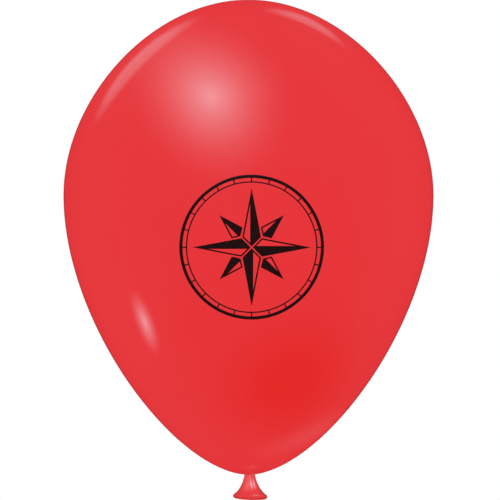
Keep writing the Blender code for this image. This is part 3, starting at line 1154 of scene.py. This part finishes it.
def make_tent(seen_by):
    finish, bench = bare_finish("red_tent")
    heading = bench.aim("NORMALIZE", bench.add("ShaderNodeTexCoord").outputs["Object"])
    behind = bench.aim("DOT_PRODUCT", heading, (0.0, 1.0, 0.0)).outputs["Value"]
    gap = bench.step(behind, math.cos(GAP_EDGE), math.cos(GAP_CORE))
    show(bench, bench.add("ShaderNodeEmission", {"Color": blend(bench, gap, TENT_RED, TENT_GAP)}))
    round_tent = bmesh.new()
    bmesh.ops.create_icosphere(round_tent, subdivisions=TENT_DIVISIONS, radius=TENT_RADIUS)
    bmesh.ops.reverse_faces(round_tent, faces=round_tent.faces)
    hang("red_tent", round_tent, finish, seen_by)


film.visible_glossy = False
film.visible_diffuse = False
blown_pieces = make_group("blown_pieces", [film, dial, rose])
neck_pieces = make_group("neck_pieces", [core, knot_piece, tail])
lip_pieces = make_group("lip_pieces", [bead])
make_tent(blown_pieces)

# %% [markdown]
# The highlights are mirror images of softboxes. To place one, the camera's ray through a pixel of the
# highlight is followed to the film and mirrored there, and the softbox stands where the mirrored ray
# goes. A grid of such points gives the softbox the shape that this curved mirror needs.
# The film's facets would scatter those rays, so the normal comes from the smooth outline.

# %% Mirror a pixel off the film
SOFTBOX_DISTANCE = 1.6


def outline_at(height):
    """The film's radius and the direction in which its outline faces, at a height."""
    arc = CROWN_ARC if height > WIDEST_Z else TAPER_ARC
    before, after = cut_arc(arc, share_up_to(arc, lambda point: point.y > height))
    run = (after[1] - before[2]).normalized()
    return before[3].x, Vector((-run.y, run.x))


def pixel_ray(column, row):
    """The direction from the camera through a pixel of the photograph."""
    right = (column - PHOTO_SIDE / 2) * PIXEL
    down = (row - PHOTO_SIDE / 2) * PIXEL
    target = Vector((camera.location.x + right, 0.0, camera.location.z - down))
    return (target - camera.location).normalized()


def mirrored_point(column, row):
    """The point of a softbox that the film mirrors into a pixel, or None off the film."""
    ray = pixel_ray(column, row)
    found, place, _, _ = film.ray_cast(camera.location, ray)
    if not found:
        return None
    _, faces = outline_at(place.z)
    around = Vector((place.x, place.y)).normalized()
    normal = Vector((around.x * faces.x, around.y * faces.x, faces.y)).normalized()
    return place + ray.reflect(normal) * SOFTBOX_DISTANCE


print("middle of the print mirrors", tuple(round(value, 2) for value in mirrored_point(250, 250)))

# %% [markdown]
# A softbox is brightest in its middle and fades to nothing at its edge, in an oval on its own grid.
# It adds light without hiding what is behind it, so its finish is a clear surface plus a glow.

# %% A softbox
SOFTBOX_TINT = (0.30, 0.93, 1.0, 1.0)


def make_glow_finish(name, strength, softness, fade):
    """A clear surface with an oval glow, which fades from its middle part to its edge."""
    glow, bench = bare_finish(name)
    own_grid = bench.add("ShaderNodeUVMap", uv_map="UVMap").outputs["UV"]
    off_centre = bench.aim("SUBTRACT", own_grid, (0.5, 0.5, 0.0))
    radius = bench.sum("MULTIPLY", bench.aim("LENGTH", off_centre).outputs["Value"], 2.0)
    level = bench.step(radius, 1.0, 1.0 - softness, curve="SMOOTHSTEP" if fade is None else "LINEAR")
    if fade is not None:
        level = bench.sum("POWER", level, fade)
    level = bench.sum("MULTIPLY", level, strength)
    shine = bench.add("ShaderNodeEmission", {"Color": SOFTBOX_TINT, "Strength": level})
    clear = bench.add("ShaderNodeBsdfTransparent")
    show(bench, bench.add("ShaderNodeAddShader", {0: clear, 1: shine}))
    return glow


def add_softbox(name, place_at, finish, seen_by, along=28, across=16):
    """A curved softbox through the points place_at(u, v), with u and v from -1 to 1."""
    sheet = bmesh.new()
    grid = sheet.loops.layers.uv.new("UVMap")
    points = {}
    for i in range(along + 1):
        for j in range(across + 1):
            u, v = 2 * i / along - 1, 2 * j / across - 1
            place = place_at(u, v)
            if place:
                points[i, j] = sheet.verts.new(place)
    for i in range(along):
        for j in range(across):
            corners = [(i, j), (i + 1, j), (i + 1, j + 1), (i, j + 1)]
            if all(corner in points for corner in corners):
                face = sheet.faces.new([points[corner] for corner in corners])
                for loop, corner in zip(face.loops, corners):
                    loop[grid].uv = (corner[0] / along, corner[1] / across)
    hang(name, sheet, finish, seen_by)


print("softboxes can be hung")

# %% [markdown]
# The photograph has five highlights on the film: a broad glow high on the left, a long thin crescent
# inside each upper edge, a short bright one low on the left and a faint one low on the right.
# The glow is an oval round one pixel, leaning a little. A crescent lies on the circle through three pixels.

# %% Light: the five softboxes
GLOW_CENTRE = (211.0, 97.0)
GLOW_RADIUS = 92.0
GLOW_DROP = 1.12
GLOW_RISE = 0.92
GLOW_RIGHT = 1.05
GLOW_LEAN = 0.12


def glow_pixel(u, v):
    down = v * GLOW_RADIUS * (GLOW_DROP if v > 0 else GLOW_RISE)
    right = u * GLOW_RADIUS * (GLOW_RIGHT if u > 0 else 1.0)
    return GLOW_CENTRE[0] + right + down * GLOW_LEAN, GLOW_CENTRE[1] + down


def crescent(start, middle, end, half_width):
    """The pixels of a band on the circle through three pixels."""
    a, b, c = Vector(start), Vector(middle), Vector(end)
    ab, ac = b - a, c - a
    towards_centre = Vector(
        (
            ac.y * ab.length_squared - ab.y * ac.length_squared,
            ab.x * ac.length_squared - ac.x * ab.length_squared,
        )
    )
    centre = a + towards_centre / (2 * ab.cross(ac))
    radius = (a - centre).length
    spoke = (a - centre).normalized()
    first = (a - centre).angle_signed(b - centre)
    second = (b - centre).angle_signed(c - centre)

    def pixel_at(u, v):
        sweep = first * (u + 1) if u < 0 else first + second * u
        across, down = math.cos(-sweep), math.sin(-sweep)
        turned = Vector((spoke.x * across - spoke.y * down, spoke.x * down + spoke.y * across))
        return tuple(centre + turned * (radius + v * half_width))

    return pixel_at


SOFTBOXES = [
    ("softbox_glow", glow_pixel, 8.0, 1.0, 2.65),
    ("softbox_left", crescent((91.2, 131.2), (137.3, 62.8), (207.6, 13.9), 7.6), 0.78, 0.58, None),
    ("softbox_right", crescent((256.3, 9.3), (307.2, 21.5), (351.2, 53.6), 5.1), 0.66, 0.7, None),
    ("softbox_low_left", crescent((130.5, 286), (145, 322), (158.5, 359), 11.0), 6.4, 1.0, 2.0),
    ("softbox_low_right", crescent((235, 455), (300, 437), (346, 404), 12.0), 0.23, 1.0, None),
]
for softbox_name, pixel_at, strength, softness, fade in SOFTBOXES:
    glow_finish = make_glow_finish(softbox_name, strength, softness, fade)
    add_softbox(softbox_name, lambda u, v: mirrored_point(*pixel_at(u, v)), glow_finish, blown_pieces)

# %% [markdown]
# The neck is far smaller than the body, so it gets softboxes of its own: one for the streaks on its folds,
# a wide one for the paler glow on their left, and one for the short highlight on the lip.
# Light linking keeps them off the body, as it keeps the other five off the neck.
# Each is placed by the way that a shiny face must look, in degrees, to mirror it to the camera.

# %% Light: the softboxes for the neck
NECK_PLACE = Vector((NECK_ASIDE, 0.0, BEAD_Z))
CAMERA_LOOKS = Vector((0.0, 1.0, 0.0))
NECK_SOFTBOXES = [
    ("softbox_streaks", (17, 22), (24, 19), 11.0, 2.0, neck_pieces),
    ("softbox_neck_glow", (-14, 22), (38, 24), 2.4, 1.4, neck_pieces),
    ("softbox_lip", (21, 28), (26, 20), 9.5, 2.0, lip_pieces),
]


def facing(middle, reach):
    """Where a softbox stands for faces that look about one way, given as turn and rise in degrees."""

    def place_at(u, v):
        turn = math.radians(middle[0] + u * reach[0])
        rise = math.radians(middle[1] + v * reach[1])
        level = math.cos(rise)
        normal = Vector((math.sin(turn) * level, -math.cos(turn) * level, math.sin(rise)))
        return NECK_PLACE + CAMERA_LOOKS.reflect(normal) * SOFTBOX_DISTANCE

    return place_at


for softbox_name, middle, reach, strength, fade, seen_by in NECK_SOFTBOXES:
    glow_finish = make_glow_finish(softbox_name, strength, 1.0, fade)
    add_softbox(softbox_name, facing(middle, reach), glow_finish, seen_by)

# %% [markdown]
# The floor is a pale disc some way under the balloon, which floats. It fades out towards its edge and is
# clear from below, so that it never cuts across a view.

# %% Stage: the pale floor
FLOOR_Z = -0.35
FLOOR_RADIUS = 1.6
FLOOR_SOLID = 0.4
FLOOR_SIDES = 96
FLOOR_DIM = (0.86, 0.86, 0.86, 1.0)
FLOOR_PALE = (0.90, 0.90, 0.90, 1.0)


def make_floor():
    disc = bmesh.new()
    bmesh.ops.create_circle(disc, cap_ends=True, segments=FLOOR_SIDES, radius=FLOOR_RADIUS)
    bmesh.ops.translate(disc, verts=disc.verts, vec=(0.0, 0.0, FLOOR_Z))
    mesh = bpy.data.meshes.new("floor")
    disc.to_mesh(mesh)
    disc.free()
    finish, bench, shader, place = new_finish("pale_floor")
    tone = blend(bench, noise(bench, place, 40.0, detail=4.0), FLOOR_DIM, FLOOR_PALE)
    bench.plug(shader.inputs["Base Color"], tone)
    set_levels(shader, {"Roughness": 0.9, "Specular IOR Level": 0.0})
    reach = bench.aim("LENGTH", bench.aim("MULTIPLY", place, (1.0, 1.0, 0.0))).outputs["Value"]
    solid = bench.step(reach, FLOOR_RADIUS, FLOOR_RADIUS * FLOOR_SOLID)
    from_above = bench.sum("SUBTRACT", 1.0, bench.add("ShaderNodeNewGeometry").outputs["Backfacing"])
    bench.plug(shader.inputs["Alpha"], bench.sum("MULTIPLY", solid, from_above))
    mesh.materials.append(finish)
    floor = bpy.data.objects.new("floor", mesh)
    bpy.context.scene.collection.objects.link(floor)
    floor.visible_diffuse = False
    floor.visible_glossy = False


make_floor()
print("floor at", FLOOR_Z)
